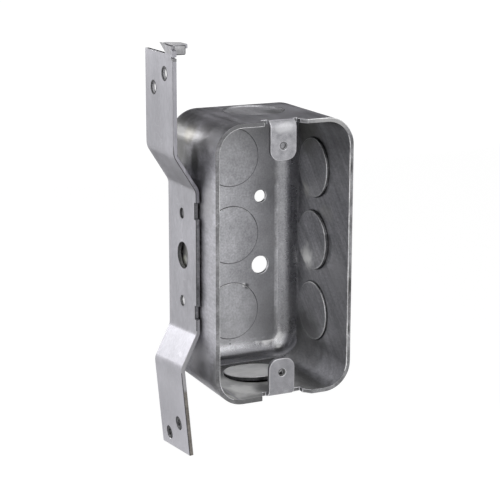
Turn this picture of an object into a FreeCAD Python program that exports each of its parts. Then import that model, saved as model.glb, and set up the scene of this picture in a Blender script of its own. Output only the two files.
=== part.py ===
import FreeCAD, Part
import math
import os

V = FreeCAD.Vector

# A switch box drawn from one sheet, with a stud bracket spot-welded to its left wall.
# Millimetres. X to the right, Y into the box, Z up.
# The origin is midway between the two device screws, on the front of their ears.

# Box shell
box_width = 54.0
box_height = 101.6
box_depth = 47.6
box_sheet = 1.6
corner_radius = 10.5       # outside, where two side walls meet
rear_radius = 8.8          # outside, where a side wall meets the rear

# Ears for the device screws, bent in from the top and bottom walls
screw_spacing = 83.3
screw_radius = 1.45        # minor radius of the tapped hole
ear_recess = 2.0           # from the rim back to the front of the ears
ear_width = 10.2
ear_past_screw = 5.3       # from the screw's centre to the tip
ear_tip_radius = 3.8
ear_bend_radius = 1.3      # inside the bend

# Relief cut into the rim on each side of an ear, from the ear's middle: at the top, at the bottom
relief_near = (8.3, 8.8)           # where the steep side leaves the rim
relief_near_slant = (0.6, 2.0)
relief_far = (8.4, 11.2)           # where the sloping side leaves the rim
relief_far_slant = (1.8, 2.5)
relief_far_depth = (2.4, 2.6)

# Knockouts, each a disc sheared round its edge and pressed inwards
knockout_radius = 11.1
rear_knockout_spacing = 30.0
side_knockout_spacing = 27.7
knockout_clearance = 1.1       # from the rear's rounding to the side, top and bottom knockouts
rear_press = 0.4
side_press = (0.8, 1.3, 1.1)   # lowest, middle, highest
top_press = 0.5
pry_notch_radius = 0.9
bottom_lift = 2.1              # of the front edge of the lifted disc
shear_gap = 0.15               # round the lifted disc
tie_width = 5.0
tie_overlap = 1.2

# Screw holes in the rear
rear_hole_offset = 12.2
small_hole_radius = 2.4
small_hole_height = 14.1
large_hole_radius = 3.5
large_hole_height = -12.9

# Stud bracket, a strap joggled away from the box at both ends
strap_width = 25.4
strap_sheet = 1.5
strap_gap = 0.4                # between strap and wall, bridged by the welds
strap_centre_depth = 25.65     # from the rim to the strap's middle
strap_bend_radius = 4.0        # inside each bend
upper_joggle_start = 25.5
upper_joggle_end = 38.7
upper_step = 8.35
upper_end = 73.9
lower_joggle_start = -27.6
lower_joggle_end = -40.2
lower_step = 6.2
lower_flange_length = 33.8
lower_flange_lean = 5.4        # degrees, back towards the box
lower_askew = 2.5              # how much lower the lower bends and end are at the rear
lower_arm_start = -21.5        # where the askew part leaves the strap

# Holes, welds and notches of the bracket
nail_hole_radius = 2.4
nail_half_across = 5.1
nail_half_along = 3.0
nail_from_upper_end = 10.1
nail_from_lower_end = 8.2
centre_hole_radius = 4.75
centre_hole_back = -0.65       # from the strap's middle
weld_heights = (15.4, -17.2)
weld_tip_radius = 2.4
weld_dimple_radius = 1.8
weld_dimple_depth = 0.6
edge_notch_depth = 1.3
edge_notches = ((15.5, 21.3), (-21.2, -16.5))

# Hook at the bracket's top front corner
neck_width = 6.5
barb_top = 3.5                 # above the strap's end
barb_back = 11.7               # from the strap's front edge to the barb's point
barb_rise = 1.4                # above the strap's end, where the barb starts
head_front = 1.4               # from the strap's front edge to the head's front
head_reach = 6.2
head_tip_back = 6.2            # length of the head's free edge
lip_drop = 3.0
lip_inset = 1.1
hook_fold_radius = 2.1         # outside
relief_slot_height = 1.0
relief_slot_depth = 1.6
relief_slot_drop = 1.2         # below the strap's end

# Derived places
half_width = box_width / 2
half_height = box_height / 2
rim = -ear_recess
rear = box_depth - ear_recess
side_knockout_y = rear - rear_radius - knockout_clearance - knockout_radius
ear_outer_bend = ear_bend_radius + box_sheet
ear_tip = screw_spacing / 2 - ear_past_screw
strap_inner = -half_width - strap_gap
strap_outer = strap_inner - strap_sheet
strap_middle = rim + strap_centre_depth
strap_front = strap_middle - strap_width / 2
strap_back = strap_middle + strap_width / 2
flange_outer = strap_outer - upper_step
upper_arm_start = upper_joggle_start - strap_sheet - strap_bend_radius
CUT = 1.0                      # how far a cutting tool passes a surface


def rounded_block(half_x, half_z, y_start, y_end, radius, end_radius):
    """A block with four rounded corners along Y and a rounded far end."""
    block = Part.makeBox(2 * half_x, y_end - y_start, 2 * half_z, V(-half_x, y_start, -half_z))
    along = [e for e in block.Edges if abs(e.Length - (y_end - y_start)) < 1e-6 and is_along(e, V(0, 1, 0))]
    block = block.makeFillet(radius, along)
    far = [e for e in block.Edges if e.BoundBox.YMin > y_end - 1e-6]
    return block.makeFillet(end_radius, far)


def is_along(edge, direction):
    """True for a straight edge that runs along a direction."""
    if len(edge.Vertexes) != 2:
        return False
    run = edge.Vertexes[1].Point - edge.Vertexes[0].Point
    return run.Length > 1e-9 and abs(run.normalize().dot(direction)) > 1 - 1e-9


def prism(points, direction):
    """A flat outline pushed along a direction."""
    return Part.Face(Part.makePolygon(points + [points[0]])).extrude(direction)


def at_end(shape, end):
    """A feature drawn at the top of the box, as it is for end 0 and mirrored to the bottom for end 1."""
    return shape.mirror(V(0, 0, 0), V(0, 0, 1)) if end else shape


def shell_walls():
    """The drawn sheet: five walls of one thickness, open at the front."""
    outer = rounded_block(half_width, half_height, rim, rear, corner_radius, rear_radius)
    inner = rounded_block(
        half_width - box_sheet,
        half_height - box_sheet,
        rim - CUT,
        rear - box_sheet,
        corner_radius - box_sheet,
        rear_radius - box_sheet,
    )
    return outer.cut(inner)


def relief(end):
    """The cut in the top wall's rim that frees the ear before it is bent, in the width used at one end."""
    back = ear_outer_bend
    near = -relief_near[end]
    far = relief_far[end]
    far_inside = far - relief_far_slant[end]
    z = half_height - box_sheet - CUT
    outline = [
        V(near, rim - CUT, z),
        V(near, rim, z),
        V(near + relief_near_slant[end], back, z),
        V(far_inside, back, z),
        V(far_inside, rim + relief_far_depth[end], z),
        V(far, rim, z),
        V(far, rim - CUT, z),
    ]
    return prism(outline, V(0, 0, box_sheet + 2 * CUT))


def ear():
    """The top ear: the wall's sheet bent down through a right angle, with a tapped hole."""
    top = half_height
    inside = top - box_sheet
    turn = ear_outer_bend
    left = -ear_width / 2
    lap = turn + CUT
    slope = math.sqrt(0.5)
    outer_arc = Part.Arc(
        V(left, turn, top),
        V(left, turn - turn * slope, top - turn + turn * slope),
        V(left, 0, top - turn),
    )
    inner_arc = Part.Arc(
        V(left, box_sheet, top - turn),
        V(left, turn - ear_bend_radius * slope, top - turn + ear_bend_radius * slope),
        V(left, turn, inside),
    )
    edges = [
        Part.makeLine(V(left, lap, top), V(left, turn, top)),
        outer_arc.toShape(),
        Part.makeLine(V(left, 0, top - turn), V(left, 0, ear_tip)),
        Part.makeLine(V(left, 0, ear_tip), V(left, box_sheet, ear_tip)),
        Part.makeLine(V(left, box_sheet, ear_tip), V(left, box_sheet, top - turn)),
        inner_arc.toShape(),
        Part.makeLine(V(left, turn, inside), V(left, lap, inside)),
        Part.makeLine(V(left, lap, inside), V(left, lap, top)),
    ]
    tab = Part.Face(Part.Wire(edges)).extrude(V(ear_width, 0, 0))
    tip_edges = [e for e in tab.Edges if is_along(e, V(0, 1, 0)) and e.BoundBox.ZMax < ear_tip + 1e-6]
    tab = tab.makeFillet(ear_tip_radius, tip_edges)
    hole = Part.makeCylinder(screw_radius, box_sheet + 2 * CUT, V(0, -CUT, screw_spacing / 2), V(0, 1, 0))
    return tab.cut(hole)


def pressed_knockout(shell, outside, inwards, press):
    """Presses a sheared disc inwards: a shallow recess outside and a shallow step inside."""
    recess = Part.makeCylinder(knockout_radius, press + CUT, outside - inwards * CUT, inwards)
    step = Part.makeCylinder(knockout_radius, press + box_sheet / 4, outside + inwards * box_sheet * 0.75, inwards)
    return shell.fuse(step).cut(recess)


def lifted_knockout(shell):
    """The bottom disc, sheared free and lifted at the front, still tied to the wall at the rear."""
    floor = -half_height
    centre = V(0, side_knockout_y, floor)
    opening = Part.makeCylinder(knockout_radius, box_sheet + 2 * CUT, centre - V(0, 0, CUT), V(0, 0, 1))
    disc = Part.makeCylinder(knockout_radius - shear_gap, box_sheet, centre, V(0, 0, 1))
    tie_y = side_knockout_y + knockout_radius - tie_overlap
    tie = Part.makeBox(tie_width, 2 * tie_overlap, box_sheet, V(-tie_width / 2, tie_y, floor))
    lift = math.degrees(math.asin(bottom_lift / (2 * knockout_radius)))
    hinge = V(0, side_knockout_y + knockout_radius, floor)
    disc.rotate(hinge, V(1, 0, 0), -lift)
    return shell.cut(opening).fuse(tie).fuse(disc)


def box_shell():
    """The whole box: walls, knockouts, rear holes and both ears, all one sheet."""
    shell = shell_walls()
    for step in (-1, 0, 1):
        outside = V(0, rear, step * rear_knockout_spacing)
        shell = pressed_knockout(shell, outside, V(0, -1, 0), rear_press)
    for step, press in zip((-1, 0, 1), side_press):
        outside = V(half_width, side_knockout_y, step * side_knockout_spacing)
        shell = pressed_knockout(shell, outside, V(-1, 0, 0), press)
    shell = pressed_knockout(shell, V(0, side_knockout_y, half_height), V(0, 0, -1), top_press)
    notch_centre = V(-knockout_radius, side_knockout_y, half_height - box_sheet / 2)
    shell = shell.cut(Part.makeCylinder(pry_notch_radius, box_sheet, notch_centre, V(0, 0, 1)))
    shell = lifted_knockout(shell)
    for radius, height in ((small_hole_radius, small_hole_height), (large_hole_radius, large_hole_height)):
        start = V(rear_hole_offset, rear - box_sheet - CUT, height)
        shell = shell.cut(Part.makeCylinder(radius, box_sheet + 2 * CUT, start, V(0, 1, 0)))
    for end in (0, 1):
        shell = shell.cut(at_end(relief(end), end)).fuse(at_end(ear(), end))
    return shell.removeSplitter()


def strip(path, askew):
    """The strap bent along a path of (x, z) points on its outer face, its rear edge lower by askew."""
    raised = [(x, z + askew / 2) for x, z in path]
    outer = bent_line(raised, 0)
    inner = bent_line(raised, strap_sheet)
    ends = [
        Part.makeLine(outer[-1].Vertexes[-1].Point, inner[-1].Vertexes[-1].Point),
        Part.makeLine(inner[0].Vertexes[0].Point, outer[0].Vertexes[0].Point),
    ]
    outline = Part.Wire(Part.__sortEdges__(outer + inner + ends))
    return Part.Face(outline).extrude(V(0, strap_width, -askew))


def bent_line(path, inset):
    """One face of the bent strap: straight edges and arcs, set in from the outer face by inset."""
    runs = [V(b[0] - a[0], 0, b[1] - a[1]).normalize() for a, b in zip(path, path[1:])]
    towards_box = [V(abs(run.z), 0, -run.x if run.z > 0 else run.x) for run in runs]
    points = [V(x, strap_front, z) for x, z in path]
    last = points[0] + towards_box[0] * inset
    edges = []
    for corner, run, after, side, side_after in zip(points[1:], runs, runs[1:], towards_box, towards_box[1:]):
        corner = corner + (side + side_after) * (inset / (1 + side.dot(side_after)))
        turn = after - run
        convex = turn.dot(side) > 0
        radius = strap_bend_radius + (strap_sheet - inset if convex else inset)
        half = run.getAngle(after) / 2
        start = corner - run * (radius * math.tan(half))
        end = corner + after * (radius * math.tan(half))
        middle = corner + turn.normalize() * (radius / math.cos(half) - radius)
        edges.append(Part.makeLine(last, start))
        edges.append(Part.Arc(start, middle, end).toShape())
        last = end
    edges.append(Part.makeLine(last, points[-1] + towards_box[-1] * inset))
    return edges


def nail_holes(centre, across, along, inwards):
    """Two nail holes set diagonally about a centre on the strap's outer face."""
    holes = []
    for side in (-1, 1):
        place = centre + across * (side * nail_half_across) - along * (side * nail_half_along)
        holes.append(Part.makeCylinder(nail_hole_radius, strap_sheet + 2 * CUT, place - inwards * CUT, inwards))
    return holes


def lower_arm():
    """The lower joggle and flange with its nail holes, bent slightly askew."""
    lean = math.radians(lower_flange_lean)
    downwards = V(math.sin(lean), 0, -math.cos(lean))
    bend = V(strap_outer - lower_step, strap_middle, lower_joggle_end)
    end = bend + downwards * lower_flange_length
    path = [
        (strap_outer, lower_arm_start),
        (strap_outer, lower_joggle_start),
        (bend.x, bend.z),
        (end.x, end.z),
    ]
    across = V(0, strap_width, -lower_askew).normalize()
    inwards = across.cross(downwards) * -1
    centre = end - downwards * nail_from_lower_end
    arm = strip(path, lower_askew)
    for hole in nail_holes(centre, across, downwards * -1, inwards.normalize()):
        arm = arm.cut(hole)
    return arm


def middle_plate():
    """The flat strap between the two joggles, its lower end cut askew to meet the lower arm."""
    drop = lower_askew / 2
    outline = [
        V(strap_outer, strap_front, upper_arm_start),
        V(strap_outer, strap_back, upper_arm_start),
        V(strap_outer, strap_back, lower_arm_start - drop),
        V(strap_outer, strap_front, lower_arm_start + drop),
    ]
    return prism(outline, V(strap_sheet, 0, 0))


def upper_arm():
    """The upper joggle and flange with its nail holes."""
    path = [
        (strap_outer, upper_arm_start),
        (strap_outer, upper_joggle_start),
        (flange_outer, upper_joggle_end),
        (flange_outer, upper_end),
    ]
    arm = strip(path, 0)
    centre = V(flange_outer, strap_middle, upper_end - nail_from_upper_end)
    for hole in nail_holes(centre, V(0, 1, 0), V(0, 0, 1), V(1, 0, 0)):
        arm = arm.cut(hole)
    return arm


def hook():
    """The neck and barb, the head folded over from them, and the head's short front lip."""
    neck_back = strap_front + neck_width
    barb_point = strap_front + barb_back
    top = upper_end + barb_top
    front = strap_front + head_front
    free_edge = flange_outer + head_reach
    angle = Part.Face(Part.Wire(hook_section(top, free_edge))).extrude(V(0, strap_width, 0))
    from_side = [
        V(flange_outer - CUT, strap_front, upper_end - CUT),
        V(flange_outer - CUT, strap_front, upper_end + barb_rise),
        V(flange_outer - CUT, front, top - strap_sheet),
        V(flange_outer - CUT, front, top),
        V(flange_outer - CUT, barb_point, top),
        V(flange_outer - CUT, neck_back, upper_end + barb_rise),
        V(flange_outer - CUT, neck_back, upper_end - CUT),
    ]
    from_above = [
        V(flange_outer, strap_front, upper_end - CUT),
        V(flange_outer + strap_sheet, strap_front, upper_end - CUT),
        V(flange_outer + strap_sheet, front, upper_end - CUT),
        V(free_edge, front, upper_end - CUT),
        V(free_edge, front + head_tip_back, upper_end - CUT),
        V(flange_outer, barb_point, upper_end - CUT),
    ]
    body = angle.common(prism(from_side, V(head_reach + 2 * CUT, 0, 0)))
    body = body.common(prism(from_above, V(0, 0, barb_top + 2 * CUT)))
    lip_start = V(flange_outer + lip_inset + hook_fold_radius, front, top - lip_drop)
    lip_length = head_reach - hook_fold_radius - 2 * lip_inset
    return body.fuse(Part.makeBox(lip_length, strap_sheet, lip_drop, lip_start))


def hook_section(top, free_edge):
    """The folded strap seen along Y: up from the flange, round the fold and out to the free edge."""
    inside = hook_fold_radius - strap_sheet
    slope = math.sqrt(0.5)
    centre_x = flange_outer + hook_fold_radius
    centre_z = top - hook_fold_radius
    corners = [
        V(flange_outer, strap_front, upper_end - CUT),
        V(flange_outer, strap_front, centre_z),
        V(centre_x, strap_front, top),
        V(free_edge, strap_front, top),
        V(free_edge, strap_front, top - strap_sheet),
        V(centre_x, strap_front, top - strap_sheet),
        V(flange_outer + strap_sheet, strap_front, centre_z),
        V(flange_outer + strap_sheet, strap_front, upper_end - CUT),
    ]
    outer_middle = V(centre_x - hook_fold_radius * slope, strap_front, centre_z + hook_fold_radius * slope)
    inner_middle = V(centre_x - inside * slope, strap_front, centre_z + inside * slope)
    return [
        Part.makeLine(corners[0], corners[1]),
        Part.Arc(corners[1], outer_middle, corners[2]).toShape(),
        Part.makeLine(corners[2], corners[3]),
        Part.makeLine(corners[3], corners[4]),
        Part.makeLine(corners[4], corners[5]),
        Part.Arc(corners[5], inner_middle, corners[6]).toShape(),
        Part.makeLine(corners[6], corners[7]),
        Part.makeLine(corners[7], corners[0]),
    ]


def stud_bracket():
    """The whole bracket, one strap with its hook, holes, weld projections and edge notches."""
    bracket = middle_plate().fuse([lower_arm(), upper_arm(), hook()])
    for height in weld_heights:
        tip = V(strap_inner, strap_middle, height)
        bracket = bracket.fuse(Part.makeCylinder(weld_tip_radius, strap_gap, tip, V(1, 0, 0)))
        dimple = V(strap_outer - CUT, strap_middle, height)
        bracket = bracket.cut(Part.makeCylinder(weld_dimple_radius, weld_dimple_depth + CUT, dimple, V(1, 0, 0)))
    centre_hole = V(strap_outer - CUT, strap_middle + centre_hole_back, 0)
    bracket = bracket.cut(Part.makeCylinder(centre_hole_radius, strap_sheet + 2 * CUT, centre_hole, V(1, 0, 0)))
    for low, high in edge_notches:
        corner = V(strap_outer - CUT, strap_front - CUT, low)
        bracket = bracket.cut(Part.makeBox(strap_sheet + 2 * CUT, edge_notch_depth + CUT, high - low, corner))
    slot_z = upper_end - relief_slot_drop - relief_slot_height / 2
    corner = V(flange_outer - CUT, strap_front - CUT, slot_z)
    slot = Part.makeBox(strap_sheet + 2 * CUT, relief_slot_depth + CUT, relief_slot_height, corner)
    return bracket.cut(slot).removeSplitter()


def export(shape, name):
    """Writes one piece and prints what it measures."""
    shape.exportStep("parts/" + name + ".step")
    size = shape.BoundBox
    print(name, "solids", len(shape.Solids), "valid", shape.isValid(), "volume", round(shape.Volume, 2))
    print("  x", round(size.XMin, 3), round(size.XMax, 3), "y", round(size.YMin, 3), round(size.YMax, 3))
    print("  z", round(size.ZMin, 3), round(size.ZMax, 3))


os.makedirs("parts", exist_ok=True)
export(box_shell(), "box_shell")
export(stud_bracket(), "stud_bracket")
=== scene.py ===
import bpy
import math
from math import radians
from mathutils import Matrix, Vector


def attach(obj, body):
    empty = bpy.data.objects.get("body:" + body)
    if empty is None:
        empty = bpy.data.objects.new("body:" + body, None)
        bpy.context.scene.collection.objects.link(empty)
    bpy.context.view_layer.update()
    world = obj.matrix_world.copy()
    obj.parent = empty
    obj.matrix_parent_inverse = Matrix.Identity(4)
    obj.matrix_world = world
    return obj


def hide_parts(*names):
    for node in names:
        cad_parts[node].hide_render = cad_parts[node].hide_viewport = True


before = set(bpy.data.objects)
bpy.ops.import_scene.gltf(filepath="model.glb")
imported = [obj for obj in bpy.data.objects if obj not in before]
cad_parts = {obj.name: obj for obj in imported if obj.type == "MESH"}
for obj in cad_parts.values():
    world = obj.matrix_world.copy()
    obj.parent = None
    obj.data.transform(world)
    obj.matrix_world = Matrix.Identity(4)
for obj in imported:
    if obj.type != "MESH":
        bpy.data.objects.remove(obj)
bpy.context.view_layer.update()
print("frame loaded:", sorted(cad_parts))

mm = 0.001  # the sizes below are written in millimetres


# Camera

cameraSet = {
    "place": (-246.95, -493.57, 140.37),
    "turn": (76.098, -0.1165, -25.281),
    "lens": 115.03,
    "shiftX": 0.00286,
    "shiftY": 0.00128,
}

cameraData = bpy.data.cameras.new("camera")
camera = bpy.data.objects.new("camera", cameraData)
bpy.context.scene.collection.objects.link(camera)
camera.location = Vector(cameraSet["place"]) * mm
camera.rotation_euler = [radians(a) for a in cameraSet["turn"]]
cameraData.sensor_width = 36
cameraData.lens = cameraSet["lens"]
cameraData.shift_x = cameraSet["shiftX"]
cameraData.shift_y = cameraSet["shiftY"]
cameraData.clip_start = 0.01
cameraData.clip_end = 50
bpy.context.scene.camera = camera
bpy.context.scene.view_settings.view_transform = "Standard"
print("camera set")


# Small helpers for node trees

def addNode(tree, kind, **values):
    node = tree.nodes.new(kind)
    for name, value in values.items():
        setattr(node, name, value)
    return node


def setInputs(node, **values):
    for name, value in values.items():
        node.inputs[name.replace("_", " ")].default_value = value
    return node


def wire(tree, source, target):
    tree.links.new(source, target)


def feed(tree, socket, value):
    if isinstance(value, bpy.types.NodeSocket):
        wire(tree, value, socket)
    elif isinstance(value, tuple) and len(socket.default_value) == 4:
        socket.default_value = (*value, 1)
    else:
        socket.default_value = value


def mathNode(tree, operation, *values):
    node = addNode(tree, "ShaderNodeMath", operation=operation)
    for socket, value in zip(node.inputs, values):
        feed(tree, socket, value)
    return node.outputs["Value"]


def vectorNode(tree, operation, *values):
    node = addNode(tree, "ShaderNodeVectorMath", operation=operation)
    for socket, value in zip(node.inputs, values):
        feed(tree, socket, value)
    return node.outputs["Value"] if operation in ("LENGTH", "DOT_PRODUCT") else node.outputs["Vector"]


def remap(tree, source, low, high, newLow=0.0, newHigh=1.0, smooth=False):
    node = addNode(tree, "ShaderNodeMapRange", interpolation_type="SMOOTHSTEP" if smooth else "LINEAR")
    for socket, value in zip(node.inputs, (source, low, high, newLow, newHigh)):
        feed(tree, socket, value)
    return node.outputs["Result"]


def mixColour(tree, factor, first, second, blend="MIX"):
    node = addNode(tree, "ShaderNodeMix", data_type="RGBA", blend_type=blend)
    for index, value in ((0, factor), (6, first), (7, second)):
        feed(tree, node.inputs[index], value)
    return node.outputs[2]


def mixValue(tree, factor, first, second):
    node = addNode(tree, "ShaderNodeMix", data_type="FLOAT")
    for index, value in ((0, factor), (2, first), (3, second)):
        feed(tree, node.inputs[index], value)
    return node.outputs[0]


def noise(tree, vector, scale, detail=2.0, roughness=0.5):
    node = setInputs(addNode(tree, "ShaderNodeTexNoise"), Detail=detail, Roughness=roughness)
    feed(tree, node.inputs["Vector"], vector)
    feed(tree, node.inputs["Scale"], scale)
    return node


def newGroup(name, inputs, outputs):
    group = bpy.data.node_groups.new(name, "ShaderNodeTree")
    for label, kind, value in inputs:
        socket = group.interface.new_socket(label, in_out="INPUT", socket_type=kind)
        if value is not None:
            socket.default_value = value
    for label in outputs:
        group.interface.new_socket(label, in_out="OUTPUT", socket_type="NodeSocketFloat")
    given = addNode(group, "NodeGroupInput").outputs
    out = addNode(group, "NodeGroupOutput").inputs
    return group, given, out


def placeGroup(tree, group, vector, **values):
    node = addNode(tree, "ShaderNodeGroup", node_tree=group)
    wire(tree, vector, node.inputs["Vector"])
    return setInputs(node, **values)


# Shared surface effects

effectSet = {
    "grainFiner": 16.0,
    "cloudRange": (0.34, 0.66),
    "lineRange": (0.32, 0.68),
    "warpScale": 90.0,
    "warpShare": 0.012,
    "crackWidth": 0.025,
    "scuffScale": 140.0,
    "scuffRange": (0.5, 0.68),
    "ringScale": 350.0,
    "tornScale": 260.0,
    "patchCore": 0.35,
    "gradientPatchScale": 120.0,
    "brokenRange": (0.3, 0.6),
}


def mottleGroup():
    group, given, out = newGroup(
        "zincMottle",
        [
            ("Vector", "NodeSocketVector", None),
            ("Scale", "NodeSocketFloat", 60.0),
            ("Stretch", "NodeSocketVector", (1, 1, 1)),
        ],
        ["Clouds", "Grain"],
    )
    scaled = vectorNode(group, "MULTIPLY", given["Vector"], given["Stretch"])
    clouds = noise(group, scaled, given["Scale"], 4.0, 0.6)
    finer = mathNode(group, "MULTIPLY", given["Scale"], effectSet["grainFiner"])
    grain = noise(group, scaled, finer, 2.0, 0.7)
    wire(group, remap(group, clouds.outputs["Fac"], *effectSet["cloudRange"]), out["Clouds"])
    wire(group, remap(group, grain.outputs["Fac"], *effectSet["lineRange"]), out["Grain"])
    return group


def streakGroup():
    group, given, out = newGroup(
        "drawStreaks",
        [
            ("Vector", "NodeSocketVector", None),
            ("Axis", "NodeSocketVector", (1, 0, 0)),
            ("Angle", "NodeSocketFloat", 0.0),
            ("Along", "NodeSocketVector", (1, 0.03, 1)),
            ("Density", "NodeSocketFloat", 900.0),
        ],
        ["Streaks"],
    )
    turned = addNode(group, "ShaderNodeVectorRotate", rotation_type="AXIS_ANGLE")
    for name in ("Vector", "Axis", "Angle"):
        wire(group, given[name], turned.inputs[name])
    scaled = vectorNode(group, "MULTIPLY", turned.outputs["Vector"], given["Along"])
    lines = noise(group, scaled, given["Density"], 3.0, 0.65)
    wire(group, remap(group, lines.outputs["Fac"], *effectSet["lineRange"]), out["Streaks"])
    return group


def scuffGroup():
    group, given, out = newGroup(
        "scuffs",
        [
            ("Vector", "NodeSocketVector", None),
            ("Scale", "NodeSocketFloat", 300.0),
            ("Amount", "NodeSocketFloat", 0.5),
        ],
        ["Mask"],
    )
    warp = noise(group, given["Vector"], effectSet["warpScale"])
    bent = addNode(group, "ShaderNodeMix", data_type="VECTOR")
    bent.inputs[0].default_value = effectSet["warpShare"]
    wire(group, given["Vector"], bent.inputs[4])
    wire(group, warp.outputs["Color"], bent.inputs[5])
    cracks = addNode(group, "ShaderNodeTexVoronoi", feature="DISTANCE_TO_EDGE")
    wire(group, bent.outputs[1], cracks.inputs["Vector"])
    wire(group, given["Scale"], cracks.inputs["Scale"])
    lines = remap(group, cracks.outputs["Distance"], 0.0, effectSet["crackWidth"], 1.0, 0.0)
    where = noise(group, given["Vector"], effectSet["scuffScale"])
    where = remap(group, where.outputs["Fac"], *effectSet["scuffRange"])
    masked = mathNode(group, "MULTIPLY", lines, where)
    wire(group, mathNode(group, "MULTIPLY", masked, given["Amount"]), out["Mask"])
    return group


def ringGroup():
    group, given, out = newGroup(
        "shearRing",
        [
            ("Vector", "NodeSocketVector", None),
            ("Centre", "NodeSocketVector", (0, 0, 0)),
            ("Axis", "NodeSocketVector", (0, 1, 0)),
            ("Radius", "NodeSocketFloat", 0.0111),
            ("Width", "NodeSocketFloat", 0.0002),
            ("Reach", "NodeSocketFloat", 0.0025),
            ("Gaps", "NodeSocketFloat", 0.4),
        ],
        ["Line", "Disc"],
    )
    offset = vectorNode(group, "SUBTRACT", given["Vector"], given["Centre"])
    along = vectorNode(group, "DOT_PRODUCT", offset, given["Axis"])
    sideways = addNode(group, "ShaderNodeVectorMath", operation="CROSS_PRODUCT")
    wire(group, offset, sideways.inputs[0])
    wire(group, given["Axis"], sideways.inputs[1])
    distance = vectorNode(group, "LENGTH", sideways.outputs["Vector"])
    near = mathNode(group, "LESS_THAN", mathNode(group, "ABSOLUTE", along), given["Reach"])
    away = mathNode(group, "ABSOLUTE", mathNode(group, "SUBTRACT", distance, given["Radius"]))
    line = remap(group, away, 0.0, given["Width"], 1.0, 0.0)
    broken = noise(group, given["Vector"], effectSet["ringScale"])
    broken = remap(group, broken.outputs["Fac"], *effectSet["brokenRange"])
    strength = mixValue(group, given["Gaps"], 1.0, broken)
    line = mathNode(group, "MULTIPLY", line, strength)
    wire(group, mathNode(group, "MULTIPLY", line, near), out["Line"])
    inside = mathNode(group, "LESS_THAN", distance, given["Radius"])
    wire(group, mathNode(group, "MULTIPLY", inside, near), out["Disc"])
    return group


# A round patch with a torn edge: it paints real stains and also painted light and shade
def stainAndShadePatchGroup():
    group, given, out = newGroup(
        "stainAndShadePatch",
        [
            ("Vector", "NodeSocketVector", None),
            ("Centre", "NodeSocketVector", (0, 0, 0)),
            ("Stretch", "NodeSocketVector", (1, 1, 1)),
            ("Radius", "NodeSocketFloat", 0.004),
            ("Ragged", "NodeSocketFloat", 0.5),
        ],
        ["Mask"],
    )
    offset = vectorNode(group, "SUBTRACT", given["Vector"], given["Centre"])
    distance = vectorNode(group, "LENGTH", vectorNode(group, "MULTIPLY", offset, given["Stretch"]))
    share = mathNode(group, "DIVIDE", distance, given["Radius"])
    torn = noise(group, given["Vector"], effectSet["tornScale"], 3.0)
    torn = mathNode(group, "SUBTRACT", torn.outputs["Fac"], 0.5)
    share = mathNode(group, "ADD", share, mathNode(group, "MULTIPLY", torn, given["Ragged"]))
    wire(group, remap(group, share, effectSet["patchCore"], 1.0, 1.0, 0.0, True), out["Mask"])
    return group


# A gradient along one direction, broken into patches: it paints light and shade onto a finish
def shadingGradientGroup():
    group, given, out = newGroup(
        "paintedShadingGradient",
        [
            ("Vector", "NodeSocketVector", None),
            ("Direction", "NodeSocketVector", (0, 0, 1)),
            ("Clear", "NodeSocketFloat", 0.0),
            ("Full", "NodeSocketFloat", -0.045),
            ("Patchy", "NodeSocketFloat", 0.4),
        ],
        ["Mask"],
    )
    level = vectorNode(group, "DOT_PRODUCT", given["Vector"], given["Direction"])
    depth = remap(group, level, given["Clear"], given["Full"], 0.0, 1.0, True)
    patches = noise(group, given["Vector"], effectSet["gradientPatchScale"], 4.0, 0.6)
    patches = remap(group, patches.outputs["Fac"], *effectSet["brokenRange"])
    wire(group, mathNode(group, "MULTIPLY", depth, mixValue(group, given["Patchy"], 1.0, patches)), out["Mask"])
    return group


mottle = mottleGroup()
streaks = streakGroup()
scuffs = scuffGroup()
ring = ringGroup()
stainAndShadePatch = stainAndShadePatchGroup()
shadingGradient = shadingGradientGroup()
print("shared effects built")


# Galvanised steel: one recipe, a settings dictionary for each surface

finishSet = {"streakRough": 0.04, "bumpDepth": 0.00005, "ringDepth": 2.0}


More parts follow.
